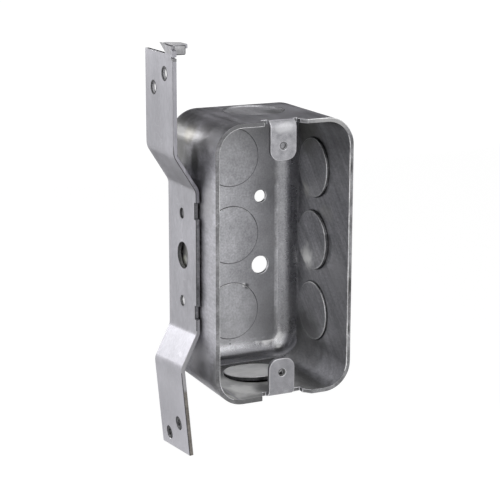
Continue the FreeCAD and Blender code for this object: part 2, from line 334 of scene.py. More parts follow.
def zincSteel(name, look, rings=(), marksAndShading=(), gradientShadings=()):
    material = bpy.data.materials.new(name)
    material.use_nodes = True
    tree = material.node_tree
    shader = tree.nodes["Principled BSDF"]
    place = addNode(tree, "ShaderNodeTexCoord").outputs["Object"]
    cloudy = placeGroup(tree, mottle, place, Scale=look["mottleScale"], Stretch=look["mottleStretch"])
    drawn = placeGroup(
        tree, streaks, place,
        Density=look["streakDensity"], Along=look["streakAlong"],
        Axis=look["streakAxis"], Angle=radians(look["streakAngle"]),
    )
    scratched = placeGroup(tree, scuffs, place, Scale=look["scuffScale"], Amount=look["scuffAmount"])
    zinc = mixColour(tree, cloudy.outputs["Clouds"], look["dark"], look["light"])
    streakShade = remap(tree, drawn.outputs["Streaks"], 0, 1, 1 - look["streakShade"], 1 + look["streakShade"])
    grainShade = remap(tree, cloudy.outputs["Grain"], 0, 1, 1 - look["grainShade"], 1 + look["grainShade"])
    shade = addNode(tree, "ShaderNodeCombineColor")
    both = mathNode(tree, "MULTIPLY", streakShade, grainShade)
    for socket in shade.inputs[:3]:
        wire(tree, both, socket)
    zinc = mixColour(tree, 1.0, zinc, shade.outputs["Color"], "MULTIPLY")
    zinc = mixColour(tree, scratched.outputs["Mask"], zinc, look["scratch"])
    rough = remap(tree, cloudy.outputs["Clouds"], 0, 1, look["rough"][0], look["rough"][1])
    streakRough = remap(tree, drawn.outputs["Streaks"], 0, 1, -finishSet["streakRough"], finishSet["streakRough"])
    rough = mathNode(tree, "ADD", rough, streakRough)
    metallic = None
    for gradientShading in gradientShadings:
        gradientNode = placeGroup(
            tree, shadingGradient, place,
            Direction=gradientShading["direction"], Clear=gradientShading["clear"] * mm, Full=gradientShading["full"] * mm, Patchy=gradientShading["patchy"],
        )
        mask = mathNode(tree, "MULTIPLY", gradientNode.outputs["Mask"], gradientShading["strength"])
        zinc = mixColour(tree, mask, zinc, gradientShading["tint"])
        rough = mixValue(tree, mask, rough, gradientShading["rough"])
        if gradientShading["dull"]:
            metallic = mixValue(tree, mask, look["metallic"], 1 - gradientShading["dull"])
    for spot in marksAndShading:
        patch = placeGroup(
            tree, stainAndShadePatch, place,
            Centre=Vector(spot["centre"]) * mm, Stretch=spot["stretch"],
            Radius=spot["radius"] * mm, Ragged=spot["ragged"],
        )
        mask = mathNode(tree, "MULTIPLY", patch.outputs["Mask"], spot["strength"])
        zinc = mixColour(tree, mask, zinc, spot["tint"])
        if spot["dull"]:
            dullness = mathNode(tree, "MULTIPLY", mask, spot["dull"])
            metallic = mixValue(tree, dullness, metallic or look["metallic"], 0.0)
    ridges = mathNode(tree, "MULTIPLY", drawn.outputs["Streaks"], look["streakHeight"])
    height = mathNode(tree, "ADD", ridges, cloudy.outputs["Grain"])
    for edge in rings:
        sheared = placeGroup(
            tree, ring, place,
            Centre=Vector(edge["centre"]) * mm, Axis=edge["axis"], Radius=edge["radius"] * mm,
            Width=edge["width"] * mm, Reach=edge["reach"] * mm, Gaps=edge["gaps"],
        )
        disc = mathNode(tree, "MULTIPLY", sheared.outputs["Disc"], edge["discStrength"])
        line = mathNode(tree, "MULTIPLY", sheared.outputs["Line"], edge["strength"])
        zinc = mixColour(tree, disc, zinc, edge["discTint"])
        zinc = mixColour(tree, line, zinc, edge["tint"])
        groove = mathNode(tree, "MULTIPLY", sheared.outputs["Line"], finishSet["ringDepth"])
        height = mathNode(tree, "SUBTRACT", height, groove)
    wire(tree, zinc, shader.inputs["Base Color"])
    wire(tree, rough, shader.inputs["Roughness"])
    bump = setInputs(addNode(tree, "ShaderNodeBump"), Strength=look["bump"], Distance=finishSet["bumpDepth"])
    wire(tree, height, bump.inputs["Height"])
    wire(tree, bump.outputs["Normal"], shader.inputs["Normal"])
    feed(tree, shader.inputs["Metallic"], metallic or look["metallic"])
    return material


# The knockouts' places follow the frame's shell; their sheared edges are drawn on the finishes

knockoutSet = {
    "radius": 11.1,
    "sideY": 24.6,
    "rearSpacing": 30.0,
    "sideSpacing": 27.7,
    "rearY": 44.0,
    "rightX": 25.4,
    "topZ": 50.8,
}


def shearLine(centre, axis, **changes):
    line = {
        "centre": centre,
        "axis": axis,
        "radius": knockoutSet["radius"],
        "width": 0.3,
        "reach": 2.4,
        "gaps": 0.35,
        "strength": 0.75,
        "tint": (0.06, 0.06, 0.065),
        "discStrength": 0.0,
        "discTint": (0.5, 0.5, 0.5),
    }
    line.update(changes)
    return line


rearRings = [
    shearLine((0, knockoutSet["rearY"], step * knockoutSet["rearSpacing"]), (0, 1, 0)) for step in (-1, 0, 1)
]
sideRings = [
    shearLine(
        (knockoutSet["rightX"], knockoutSet["sideY"], step * knockoutSet["sideSpacing"]), (1, 0, 0),
        width=0.45, radius=knockoutSet["radius"] + 0.25, gaps=0.2,
    ) for step in (-1, 0, 1)
]
# a light line along each side disc's edge: painted highlight
sideDiscHighlights = [
    shearLine(
        (knockoutSet["rightX"], knockoutSet["sideY"] - 0.25, step * knockoutSet["sideSpacing"] + 0.3), (1, 0, 0),
        width=0.28, radius=knockoutSet["radius"] - 0.3, gaps=1.0, tint=(0.85, 0.85, 0.84), strength=0.4,
    ) for step in (-1, 0, 1)
]
topRing = shearLine(
    (0, knockoutSet["sideY"], knockoutSet["topZ"]), (0, 0, 1), discStrength=0.5, discTint=(0.62, 0.62, 0.66),
)


def patchMark(centre, radius, tint, strength, stretch=(1, 1, 1), ragged=0.6, dull=0.0):
    return {
        "centre": centre, "radius": radius, "tint": tint, "strength": strength,
        "stretch": stretch, "ragged": ragged, "dull": dull,
    }


# A painted shading gradient grows from nothing at "clear" to its strength at "full", in millimetres along its
# direction

def gradientShading(direction, clear, full, tint, strength, rough, patchy, dull=0):
    return {
        "direction": direction, "clear": clear, "full": full, "tint": tint,
        "strength": strength, "rough": rough, "patchy": patchy, "dull": dull,
    }


# Looks, with the marks the photo shows: light and dark patches, mostly painted light and shade, and dents and notches
# drawn as small dark spots of painted shade

outsideLook = {
    "dark": (0.375, 0.372, 0.40),
    "light": (0.51, 0.505, 0.545),
    "scratch": (0.66, 0.655, 0.69),
    "mottleScale": 60.0,
    "mottleStretch": (1, 0.5, 1),
    "streakDensity": 620.0,
    "streakAlong": (1, 0.05, 1),
    "streakAxis": (1, 0, 0),
    "streakAngle": 0.0,
    "streakShade": 0.09,
    "streakHeight": 0.8,
    "grainShade": 0.15,
    "scuffScale": 170.0,
    "scuffAmount": 0.35,
    "rough": (0.34, 0.46),
    "bump": 0.3,
    "metallic": 0.95,
}
outsideStainsAndPaintedLight = [  # the left wall from its top corner down, and the top with its pry notch: painted shade by the strap and dimming the lamp's highlight at the corner, painted shadow and a painted highlight on the wall behind the bracket's hole, the notch drawn as dark spots of painted shade, and lighter and darker patches
    patchMark((0, 15, 50.8), 34.0, (0.64, 0.63, 0.68), 0.8, (1, 1, 3), 0.3),
    # painted shade along the strap, and painted shade that dims the lamp's highlight at the corner
    patchMark((-25.0, 33.0, 41.0), 14.0, (0.10, 0.099, 0.095), 0.9, (1, 0.8, 1)),
    patchMark((-25.5, 21.9, 43.9), 5.0, (0.155, 0.148, 0.128), 0.8, (1, 0.8, 1)),
    patchMark((-27.0, 16.0, 35.0), 8.5, (0.07, 0.07, 0.072), 0.9, (1, 1.7, 0.9)),
    patchMark((-25.0, 11.0, 45.0), 7.0, (0.33, 0.326, 0.33), 0.55, (1, 0.7, 1)),
    patchMark((-27.0, 12.0, -38.5), 11.0, (0.75, 0.745, 0.76), 0.75, (1, 1, 0.8), 0.7),
    patchMark((-27.0, -1.5, -42.0), 7.0, (0.20, 0.20, 0.205), 0.75, (1, 1, 0.5), 0.8),
    patchMark((-25.0, 3.5, 46.0), 7.0, (0.72, 0.715, 0.75), 0.75),
    patchMark((-9.0, 5.0, 50.8), 9.0, (0.74, 0.735, 0.78), 0.45, (0.7, 1, 1)),
    patchMark((-27.0, 6.0, 24.0), 9.0, (0.26, 0.258, 0.27), 0.55, (1, 1, 0.7), 0.9),
    # painted shadow and a painted highlight on the wall seen through the bracket's centre hole
    patchMark((-27.0, 25.0, 2.5), 7.0, (0.20, 0.20, 0.19), 0.9),
    patchMark((-27.0, 26.0, -2.8), 2.8, (0.98, 0.98, 0.88), 0.9),
    # the pry notch and a nick beside it drawn as dark spots: painted shade
    patchMark((-10.4, 23.5, 50.8), 1.5, (0.03, 0.03, 0.03), 0.95, (0.8, 1, 1), 1.2),
    patchMark((-7.6, 27.0, 50.8), 1.6, (0.10, 0.10, 0.10), 0.8, (0.6, 1, 1), 1.2),
    patchMark((-27.0, 10.0, 32.0), 5.0, (0.22, 0.22, 0.23), 0.5),
    patchMark((-27.0, 8.0, -44.0), 9.0, (0.26, 0.255, 0.26), 0.3, (1, 1, 1), 1.0),
]

insideLook = dict(
    outsideLook,
    dark=(0.335, 0.335, 0.352),
    light=(0.51, 0.51, 0.535),
    scratch=(0.62, 0.62, 0.64),
    streakShade=0.03,
    grainShade=0.18,
    mottleScale=85.0,
)
floorPaintedPatches = [  # the floor in front of the lifted disc, and the inner corner at its left: patches of painted light and painted shade
    patchMark((-11.5, 9.0, -49.2), 6.5, (0.95, 0.95, 0.93), 0.85, (1, 1, 1), 1.2),
    patchMark((-23.6, -1.0, -46.6), 2.4, (0.98, 0.98, 0.97), 0.9, (1, 0.5, 1), 0.9),
    patchMark((-11.0, -0.5, -49.2), 4.5, (0.25, 0.25, 0.25), 0.7, (0.6, 1.4, 1), 1.0),
    patchMark((-4.0, 6.0, -49.2), 5.0, (0.20, 0.20, 0.20), 0.8, (1, 0.8, 1), 1.0),
    patchMark((-18.8, 8.0, -49.2), 4.0, (0.22, 0.22, 0.22), 0.7, (1, 0.7, 1), 1.0),
    patchMark((-22.5, 1.0, -47.0), 3.5, (0.25, 0.25, 0.25), 0.6, (1, 1, 1), 1.2),
]
floorLook = dict(insideLook, dark=(0.33, 0.33, 0.33), light=(0.42, 0.42, 0.42), mottleScale=110.0)
burnishedLook = dict(
    insideLook,
    dark=(0.25, 0.25, 0.265),
    light=(0.33, 0.33, 0.345),
    mottleScale=120.0,
    rough=(0.24, 0.34),
    bump=0.5,
)
# the fillets painted lighter from mid height down, a painted highlight, and dark just above the floor, painted shade
filletPaintedHighlightAndShade = [
    gradientShading((0, 0, 1), -34.0, -43.0, (0.40, 0.40, 0.415), 0.9, rough=0.2, patchy=0.2),
    gradientShading((0, 0, 1), -46.4, -48.0, (0.07, 0.07, 0.072), 0.35, rough=0.25, patchy=0.1),
]
sideLook = dict(
    insideLook,
    dark=(0.34, 0.34, 0.355),
    light=(0.50, 0.50, 0.52),
    streakDensity=520.0,
    streakAlong=(1, 0.06, 1),
    streakAxis=(1, 0, 0),
    streakAngle=-46.0,
    streakShade=0.26,
)
# painted shade high inside, under the top wall, painted light lower down, and painted shade towards the right
insidePaintedShading = [
    gradientShading((0, 0, 1), 15.0, 52.0, (0.20, 0.20, 0.20), 0.6, rough=0.5, patchy=0.3),
    gradientShading((-0.35, 0, 0.94), -6.0, -44.0, (0.66, 0.66, 0.67), 0.3, rough=0.42, patchy=0.25),
    gradientShading((1, 0, 0), 2.0, 16.0, (0.27, 0.27, 0.28), 0.6, rough=0.32, patchy=0.2),
]
# the floor painted lighter and duller towards the left, painted light, and darker towards the rear behind the lifted
# disc, painted shade
floorPaintedGradients = [
    gradientShading((1, 0, 0), 16.0, 3.0, (0.72, 0.72, 0.71), 0.9, rough=0.55, patchy=0.6, dull=0.6),
    gradientShading((0, 1, 0), 19.0, 28.0, (0.08, 0.08, 0.08), 0.9, rough=0.4, patchy=0.1),
]
# the lifted disc's top painted lighter and duller towards the left: painted light
discPaintedLight = [
    gradientShading((1, 0, 0), 16.0, 3.0, (0.93, 0.93, 0.92), 1.0, rough=0.55, patchy=0.3, dull=0.6),
]
cornerPaintedHighlightAndShade = [  # a painted highlight in the lower right corner, and painted shade below it
    patchMark((15.6, 43.6, -41.9), 5.2, (0.98, 0.98, 0.98), 1.0, (0.75, 1, 1), 0.9, 0.85),
    patchMark((19.3, 42.4, -46.4), 2.8, (0.10, 0.10, 0.10), 0.85, (1, 1, 1), 0.9),
]
insideSpeckAndPaintedDent = [  # the small dent above the lowest rear knockout, drawn as a spot of painted shade with a painted highlight beside it, and a speck below it
    patchMark((6.45, 43.6, -20.6), 1.6, (0.08, 0.08, 0.085), 0.9),
    patchMark((5.2, 43.6, -20.0), 1.2, (0.9, 0.9, 0.9), 0.7),
    patchMark((-0.6, 44.0, -42.6), 1.0, (0.06, 0.06, 0.06), 0.9, (2, 1, 0.6)),
]
sidePaintedLightAndShade = [  # the right wall: painted light on its middle disc, the front and the upper disc, and painted shade at both ends
    patchMark((24.2, 28.5, -7.5), 6.0, (0.88, 0.88, 0.86), 0.8, (1, 1, 0.9), 1.5),
    patchMark((25.4, 5.4, -10.0), 9.0, (0.58, 0.58, 0.59), 0.5),
    patchMark((24.4, 31.0, 18.0), 4.5, (0.60, 0.60, 0.55), 0.5, (1, 1, 1), 0.9),
    patchMark((25.4, 16.0, 12.0), 6.0, (0.52, 0.52, 0.48), 0.4, (1, 0.8, 1.6), 0.9),
    patchMark((25.4, 30.0, 43.0), 14.0, (0.18, 0.18, 0.16), 0.7, (1, 1, 1), 0.7),
    patchMark((24.0, 30.0, -41.0), 16.0, (0.13, 0.13, 0.125), 0.65, (1, 0.75, 1), 0.6),
]
# painted shade high up, as inside, and painted light lower down
sidePaintedShading = [
    insidePaintedShading[0],
    gradientShading((0, 0, 1), 5.0, -30.0, (0.58, 0.58, 0.60), 0.3, rough=0.42, patchy=0.3),
]

bracketStainsAndPaintedShade = [  # lighter at the hook's fold, painted shade in the hook's slot, and the two welds
    patchMark((-34.0, 16.5, 78.6), 7.0, (0.55, 0.545, 0.57), 0.8, (1, 1, 3.0), 0.2),
    patchMark((-32.5, 12.0, 73.6), 4.0, (0.26, 0.26, 0.275), 0.9, (1, 1, 1), 0.3),
    patchMark((-28.9, 23.6, -17.2), 4.0, (0.22, 0.22, 0.235), 0.5, (1, 1, 1), 0.9),
    patchMark((-28.9, 23.6, 15.4), 4.0, (0.24, 0.24, 0.255), 0.5, (1, 1, 1), 0.9),
]

# the bracket painted darker towards its top, painted shade, and lighter towards its bottom, painted light
bracketPaintedShading = [
    gradientShading((0, 0, 1), 25.0, 60.0, (0.23, 0.228, 0.25), 0.4, rough=0.4, patchy=0.2),
    gradientShading((0, 0, 1), -38.0, -50.0, (0.56, 0.555, 0.60), 0.4, rough=0.36, patchy=0.2),
]
rimMarksAndPaintedShade = [  # the mouth's cut edge: lighter at the top right, darker at the top left and the bottom, and three nicks at the right drawn as dark spots of painted shade
    patchMark((17.5, -2.0, 49.5), 9.5, (0.38, 0.38, 0.38), 0.85),
    patchMark((-15.0, -2.0, 49.0), 12.0, (0.13, 0.13, 0.135), 0.75, (1, 1, 1), 0.5),
    patchMark((-6.0, -2.0, -50.0), 22.0, (0.10, 0.10, 0.10), 0.7),
    patchMark((25.5, -2.0, 32.0), 2.2, (0.03, 0.03, 0.03), 0.8, (1, 1, 0.7), 1.2),
    patchMark((25.5, -2.0, -11.5), 3.0, (0.05, 0.05, 0.05), 0.8, (1, 1, 0.6), 1.2),
    patchMark((25.5, -2.0, -28.0), 1.5, (0.05, 0.05, 0.05), 0.8, (1, 1, 0.6), 1.2),
]
earLook = dict(
    outsideLook,
    dark=(0.235, 0.235, 0.25),
    light=(0.42, 0.417, 0.44),
    mottleScale=260.0,
    mottleStretch=(1, 1, 1),
    streakShade=0.04,
    grainShade=0.2,
    rough=(0.42, 0.54),
    metallic=0.8,
)
# a painted highlight on the top ear, and the bottom ear darker
earPaintedHighlightAndDarkening = [
    patchMark((0.8, 0, 48.2), 3.2, (0.75, 0.75, 0.77), 0.4, (0.6, 1, 1.3), 1.8),
    patchMark((0, 0, -42.0), 12.0, (0.24, 0.238, 0.255), 0.5, (1, 2, 1), 0.7),
]
# the pry notch drawn as a dark spot, painted shade, and a darker patch on the disc
discNotchShadeAndMark = [
    patchMark((-10.4, 23.5, 50.8), 1.8, (0.03, 0.03, 0.03), 0.95, (0.8, 1, 1), 1.2),
    patchMark((8.0, 20.0, 50.8), 8.0, (0.12, 0.12, 0.125), 0.7, (1, 1, 1), 0.9),
]
discLook = dict(
    outsideLook,
    dark=(0.375, 0.373, 0.397),
    light=(0.47, 0.466, 0.49),
    mottleScale=140.0,
    rough=(0.45, 0.55),
    metallic=0.7,
)
# a painted highlight on the top of the hook's head
tabPaintedHighlight = [patchMark((-34.0, 17.5, 78.2), 8.0, (0.78, 0.775, 0.79), 0.6, (1, 1, 1), 0.9)]
tabLook = dict(
    outsideLook,
    dark=(0.27, 0.27, 0.28),
    light=(0.52, 0.516, 0.54),
    mottleScale=190.0,
    mottleStretch=(1, 1, 1),
    rough=(0.5, 0.6),
    metallic=0.15,
)
cutLook = dict(
    outsideLook,
    dark=(0.13, 0.13, 0.135),
    light=(0.30, 0.30, 0.31),
    mottleScale=110.0,
    mottleStretch=(1, 1, 1),
    streakShade=0.2,
    rough=(0.4, 0.55),
)
# near-black cut steel for holes, gaps and dark edges: painted shade
paintedShadeLook = dict(cutLook, dark=(0.04, 0.04, 0.042), light=(0.10, 0.10, 0.105))
bracketLook = dict(
    outsideLook,
    dark=(0.305, 0.302, 0.328),
    light=(0.40, 0.395, 0.428),
    mottleScale=70.0,
    mottleStretch=(1, 1, 0.4),
    streakAlong=(1, 1, 0.05),
    streakShade=0.05,
    grainShade=0.08,
    scuffAmount=0.3,
    rough=(0.33, 0.42),
)
# a darker copy of the bracket's finish for the neck under the hook's head: painted shade
shadedNeckLook = dict(bracketLook, dark=(0.25, 0.248, 0.262), light=(0.33, 0.327, 0.345))
rustyLook = dict(
    cutLook,
    dark=(0.12, 0.107, 0.096),
    light=(0.25, 0.232, 0.215),
    metallic=0.6,
)
# the rusty edge painted lighter above the lower flange: painted light
rustyEdgePaintedLight = [
    gradientShading((0, 0, 1), -48.5, -46.5, (0.36, 0.358, 0.375), 0.95, rough=0.42, patchy=0.1),
]
# a near-white edge finish for edges picked out as painted highlights
paintedHighlightLook = dict(
    outsideLook,
    dark=(0.38, 0.38, 0.39),
    light=(0.95, 0.95, 0.96),
    mottleScale=170.0,
    rough=(0.4, 0.5),
    scuffAmount=0.0,
    metallic=0.35,
)
edgeLook = dict(
    outsideLook,
    dark=(0.40, 0.40, 0.42),
    light=(0.68, 0.68, 0.70),
    mottleScale=160.0,
    rough=(0.28, 0.36),
    scuffAmount=0.0,
)

outsideZinc = zincSteel("outsideZinc", outsideLook, [topRing], outsideStainsAndPaintedLight)
insideZinc = zincSteel("insideZinc", insideLook, rearRings, insideSpeckAndPaintedDent, insidePaintedShading)
sideZinc = zincSteel("sideZinc", sideLook, sideRings + sideDiscHighlights, sidePaintedLightAndShade, sidePaintedShading)
floorZinc = zincSteel("floorZinc", floorLook, [], [], discPaintedLight)
floorPaintedLightZinc = zincSteel("floorPaintedLightZinc", floorLook, [], floorPaintedPatches, floorPaintedGradients)
burnishedZincWithPaintedHighlight = zincSteel("burnishedZincWithPaintedHighlight", burnishedLook, [], cornerPaintedHighlightAndShade, filletPaintedHighlightAndShade)
cutSteel = zincSteel("cutSteel", cutLook, [], rimMarksAndPaintedShade)
earZinc = zincSteel("earZinc", earLook, [], earPaintedHighlightAndDarkening)
paintedShadeSteel = zincSteel("paintedShadeSteel", paintedShadeLook)
stripZinc = zincSteel("stripZinc", bracketLook, [], bracketStainsAndPaintedShade, bracketPaintedShading)
shadedNeckZinc = zincSteel("shadedNeckZinc", shadedNeckLook)
tabZinc = zincSteel("tabZinc", tabLook, [], tabPaintedHighlight)
discZinc = zincSteel("discZinc", discLook, [], discNotchShadeAndMark)
wornEdge = zincSteel("wornEdge", edgeLook)
paintedHighlightEdge = zincSteel("paintedHighlightEdge", paintedHighlightLook)
rustyEdgeWithPaintedLight = zincSteel("rustyEdgeWithPaintedLight", rustyLook, [], [], rustyEdgePaintedLight)
print("steel finishes built")


# The sheet pieces, taken from the frame and given their worn, broken edges

shellSet = {
    "node": "box_shell",
    "name": "boxShell",
    "slot": "box_steel",
    "edgeWidth": 0.25,
    "edgeSegments": 2,
    "fineAbove": 90.0,  # edges above this, and the knockouts' shallow steps, are broken less
    "fineShare": 0.75,
}
bracketSet = {
    "node": "stud_bracket",
    "name": "studBracket",
    "slot": "bracket_steel",
    "edgeWidth": 0.25,
    "edgeSegments": 2,
    "fineAbove": 72.0,
    "fineShare": 0.25,
}
sharpAngle = radians(35)
mergeDistance = 0.002 * mm
flatAngle = radians(0.3)
slotNames = (
    "face", "edge", "inside", "cut", "hole", "side", "floor", "burnishedWithPaintedHighlight", "bright", "ear", "disc", "paintedLightFloor", "rustAndPaintedLight",
)
slots = {name: index for index, name in enumerate(slotNames)}


def selectOnly(piece):
    bpy.ops.object.select_all(action="DESELECT")
    piece.select_set(True)
    bpy.context.view_layer.objects.active = piece


def weldedCopy(settings, materials):
    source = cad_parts[settings["node"]]
    piece = bpy.data.objects.new(settings["name"], source.data.copy())
    bpy.context.scene.collection.objects.link(piece)
    piece.data.materials.clear()
    for material in materials:
        piece.data.materials.append(material)
    selectOnly(piece)
    bpy.ops.object.mode_set(mode="EDIT")
    bpy.ops.mesh.select_all(action="SELECT")
    bpy.ops.mesh.customdata_custom_splitnormals_clear()
    bpy.ops.mesh.remove_doubles(threshold=mergeDistance)
    bpy.ops.mesh.dissolve_limited(angle_limit=flatAngle)
    bpy.ops.object.mode_set(mode="OBJECT")
    bpy.ops.object.shade_smooth_by_angle(angle=sharpAngle)
    return piece


def weighEdges(piece, settings):
    mesh = piece.data
    weights = mesh.attributes.new("bevel_weight_edge", "FLOAT", "EDGE")
    normals = {}
    for face in mesh.polygons:
        for key in face.edge_keys:
            normals.setdefault(key, []).append(face.normal.copy())
    for edge in mesh.edges:
        sides = normals.get(edge.key, [])
        sharp = len(sides) == 2 and sides[0].angle(sides[1], 0) > sharpAngle
        ends = [mesh.vertices[v].co / mm for v in edge.vertices]
        step = ringUnder((ends[0] + ends[1]) / 2, cornerSet["edgeReach"])
        fine = max(end.z for end in ends) > settings["fineAbove"] or (step is not None and step not in sideRings)
        weights.data[edge.index].value = (settings["fineShare"] if fine else 1.0) if sharp else 0.0


def breakEdges(piece, settings):
    weighEdges(piece, settings)
    selectOnly(piece)
    bevel = piece.modifiers.new("brokenEdges", "BEVEL")
    bevel.width = settings["edgeWidth"] * mm
    bevel.segments = settings["edgeSegments"]
    bevel.limit_method = "WEIGHT"
    bevel.material = slots["edge"]
    bevel.harden_normals = True
    bevel.use_clamp_overlap = False
    bpy.ops.object.modifier_apply(modifier=bevel.name)
    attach(piece, "root")
    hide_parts(settings["node"])


# The shell's corners, measured from the middle of their rounding, tell its inside from its outside

cornerSet = {
    "middleX": 16.5,
    "middleZ": 40.3,
    "middleY": 35.1,
    "inside": 9.65,
    "outside": 9.95,
    "flat": 0.97,
    "turned": 0.05,
    "floorZ": -49.1,
    "pressed": 10.3,
    "innerEdge": 9.7,
    "rim": -1.9,
    "earHalf": 5.2,
    "earBack": 1.7,
    "topSkin": 50.0,
    "ringReach": 0.35,
    "edgeReach": 0.6,
    "discBelow": -46.0,
    "discMargin": 0.2,
    "upwards": 0.9,
    "tilted": 0.2,
    "alongWall": 0.5,
    "insideStep": 0.35,
    "rearStep": 0.2,
    "upperArc": 8.0,
    "farArc": 4.0,
    "rimBand": 0.6,
    "rimEnd": 44.0,
    "rimDarkFrom": -20.0,
}


def wallDistance(point):
    reach = Vector((
        max(abs(point.x) - cornerSet["middleX"], 0),
        max(point.y - cornerSet["middleY"], 0),
        max(abs(point.z) - cornerSet["middleZ"], 0),
    ))
    return reach.length


def ringUnder(point, reach):
    for edge in rearRings + sideRings + [topRing]:
        axis = Vector(edge["axis"])
        offset = point - Vector(edge["centre"])
        away = offset.cross(axis).length
        if abs(offset.dot(axis)) < edge["reach"] and abs(away - knockoutSet["radius"]) < reach:
            return edge
    return None


def onShearedEdge(point, normal):
    edge = ringUnder(point, cornerSet["ringReach"])
    return edge is not None and abs(normal.dot(Vector(edge["axis"]))) < cornerSet["alongWall"]


def onBottomDisc(point):
    away = (point.xy - Vector((0, knockoutSet["sideY"]))).length
    return point.z < cornerSet["discBelow"] and away < knockoutSet["radius"] + cornerSet["discMargin"]


def paintShell(piece):
    for face in piece.data.polygons:
        point = face.center / mm
        distance = wallDistance(point)
        onEar = point.y < cornerSet["earBack"] and abs(point.x) < cornerSet["earHalf"]
        flat = max(abs(part) for part in face.normal) > cornerSet["flat"]
        onFloor = face.normal.z > cornerSet["flat"] and point.z < cornerSet["floorZ"]
        if onFloor and point.y > cornerSet["rim"]:
            face.material_index = slots["paintedLightFloor"]
        elif onBottomDisc(point):
            face.material_index = slots["floor" if face.normal.z > cornerSet["upwards"] else "hole"]
        elif onShearedEdge(point, face.normal) or point.y < cornerSet["rim"]:
            face.material_index = slots["cut"]
        elif onEar:
            face.material_index = slots["ear"]
        elif distance < cornerSet["pressed"] and point.z > cornerSet["topSkin"]:
            face.material_index = slots["disc"]
        elif distance > cornerSet["outside"]:
            face.material_index = slots["face"]
        elif distance > cornerSet["inside"]:
            face.material_index = slots["cut"]
        elif flat and face.normal.x < 0:
            face.material_index = slots["side"]
        elif flat:
            face.material_index = slots["inside"]
        elif point.y > cornerSet["middleY"] and abs(face.normal.y) > cornerSet["turned"]:
            face.material_index = slots["burnishedWithPaintedHighlight"]
        elif point.z < 0 and point.x < 0:
            face.material_index = slots["paintedLightFloor"]
        else:
            face.material_index = slots["side" if point.x > 0 else "inside"]


# Edge faces by place: the rear knockouts' upper arcs, the side knockouts' inner arcs, the lifted disc's upward edges
# and parts of the rim get painted highlights; the side knockouts' outer arcs and the disc's other edges get painted
# shade
def paintShellEdges(piece):
    for face in piece.data.polygons:
        if face.material_index != slots["edge"]:
            continue
        point = face.center / mm
        edge = ringUnder(point, cornerSet["edgeReach"])
        distance = wallDistance(point)
        nearRim = point.y < cornerSet["rim"] + cornerSet["rimBand"] and abs(point.x) > cornerSet["earHalf"]
        topRight = point.z > cornerSet["rimEnd"] and point.x > 0
        if edge in sideRings:
            inner = point.x < knockoutSet["rightX"] - cornerSet["insideStep"]
            face.material_index = slots["bright" if inner else "hole"]
        elif edge in rearRings:
            upper = point.z > edge["centre"][2] + cornerSet["upperArc"]
            front = point.y < knockoutSet["rearY"] - cornerSet["rearStep"]
            face.material_index = slots["bright" if upper and front else "cut"]
        elif edge is topRing:
            far = point.y > edge["centre"][1] + cornerSet["farArc"]
            face.material_index = slots["edge" if far else "cut"]
        elif onBottomDisc(point):
            face.material_index = slots["bright" if face.normal.z > cornerSet["tilted"] else "hole"]
        elif nearRim and distance < cornerSet["innerEdge"]:
            bottomRight = point.z < -cornerSet["rimEnd"] and point.x > cornerSet["rimDarkFrom"]
            face.material_index = slots["cut" if bottomRight or topRight else "bright"]
        elif nearRim:
            face.material_index = slots["bright" if topRight else "cut"]


# The top of the hook's head takes the duller, lighter tab finish

tabSet = {
    "headTop": 77.0,
    "upwards": 0.5,
}


def paintTab(piece):
    for face in piece.data.polygons:
        point = face.center / mm
        if point.z > tabSet["headTop"] and face.normal.z > tabSet["upwards"]:
            face.material_index = slots["inside"]


# On the bracket, bores and the strap's edge between the joggles are dark, many edges get near-black painted shade, and
# the lower weld is painted bright, a painted highlight

bracketMarks = {
    "frontY": 10.95,
    "backY": 36.35,
    "inset": 1.0,
    "top": 72.0,
    "bottom": -71.0,
    "edgeTop": 24.0,
    "edgeBottom": -24.0,
    "lowFlange": -48.0,
    "highFlange": 42.0,
    "hole": (23.0, 0.0),
    "holeRadius": 4.75,
    "welds": (((23.65, 15.4), "cut"), ((23.65, -17.2), "bright")),
    "weldRadius": 2.1,
    "nails": [(-36.5, 18.55, 66.8), (-36.5, 28.75, 60.8), (-32.2, 18.57, -62.2), (-31.7, 28.73, -69.2)],
    "nailReach": 3.0,
    "strapX": -29.2,
    "forwards": -0.6,
    "bore": 0.5,
    "boreMargin": 0.2,
}


def awayFrom(point, centre):
    return math.hypot(point.y - centre[0], point.z - centre[1])


def inNailHole(point):
    return any((point - Vector(centre)).length < bracketMarks["nailReach"] for centre in bracketMarks["nails"])


def paintBracket(piece):
    marks = bracketMarks
    for face in piece.data.polygons:
        point = face.center / mm
        onStrap = point.x > marks["strapX"]
        forwards = face.normal.y < marks["forwards"]
        inBore = abs(face.normal.x) < marks["bore"]
        if onStrap and forwards and marks["edgeBottom"] < point.z < marks["edgeTop"]:
            face.material_index = slots["cut"]
        if forwards and point.z < marks["edgeBottom"]:
            face.material_index = slots["rustAndPaintedLight"]
        if inNailHole(point) and inBore:
            face.material_index = slots["inside"]
        if onStrap and inBore and awayFrom(point, marks["hole"]) < marks["holeRadius"] + marks["boreMargin"]:
            face.material_index = slots["cut"]
        for centre, slotName in marks["welds"]:
            if awayFrom(point, centre) < marks["weldRadius"] and face.normal.x < marks["bore"]:
                face.material_index = slots[slotName]


